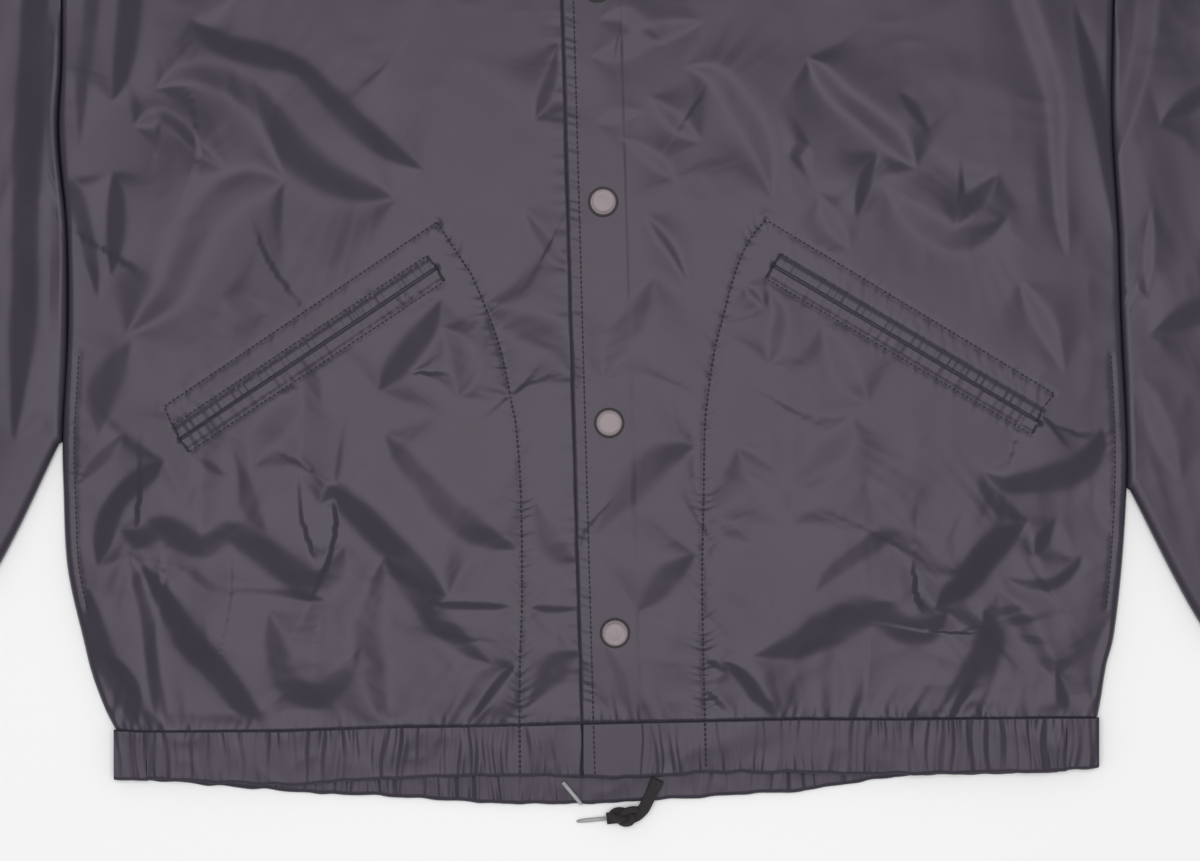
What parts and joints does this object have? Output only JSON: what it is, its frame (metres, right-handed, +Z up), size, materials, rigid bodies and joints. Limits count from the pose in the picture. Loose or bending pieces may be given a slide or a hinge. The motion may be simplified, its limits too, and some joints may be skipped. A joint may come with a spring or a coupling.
{
  "type": "coach jacket",
  "caption": "Thin nylon jacket laid flat: snap front, shirt collar, slanted welt pockets, gathered hem with drawcord and elastic cuffs.",
  "frame": {"origin": "middle of the garment's box on the surface that it lies on", "axes": "+X to the viewer's right across the garment, +Y from hem to collar, +Z up out of the front"},
  "size_m": [0.9004, 0.7843, 0.0137],
  "materials": {
    "nylon": "satin nylon, charcoal with a violet cast",
    "nylon_hem": "satin nylon, gathered over elastic",
    "snap_metal": "satin painted metal",
    "cord_black": "matt woven cord",
    "tip_grey": "clear grey plastic tip"
  },
  "bodies": {
    "root": {"back": "nylon", "left_front": "nylon", "right_front": "nylon", "sleeve_left": "nylon", "sleeve_right": "nylon", "collar": "nylon", "pocket_welt_upper_left": "nylon", "pocket_welt_lower_left": "nylon", "pocket_welt_upper_right": "nylon", "pocket_welt_lower_right": "nylon", "hem_back": "nylon_hem", "hem_left_front": "nylon_hem", "hem_right_front": "nylon_hem", "cuff_left": "nylon_hem", "cuff_right": "nylon_hem", "snap_1": "snap_metal", "snap_2": "snap_metal", "snap_3": "snap_metal", "snap_4": "snap_metal", "snap_5": "snap_metal", "snap_6": "snap_metal", "drawcord": "cord_black", "cord_knot": "cord_black", "cord_tip_left": "tip_grey", "cord_tip_right": "tip_grey"}
  },
  "joints": []
}
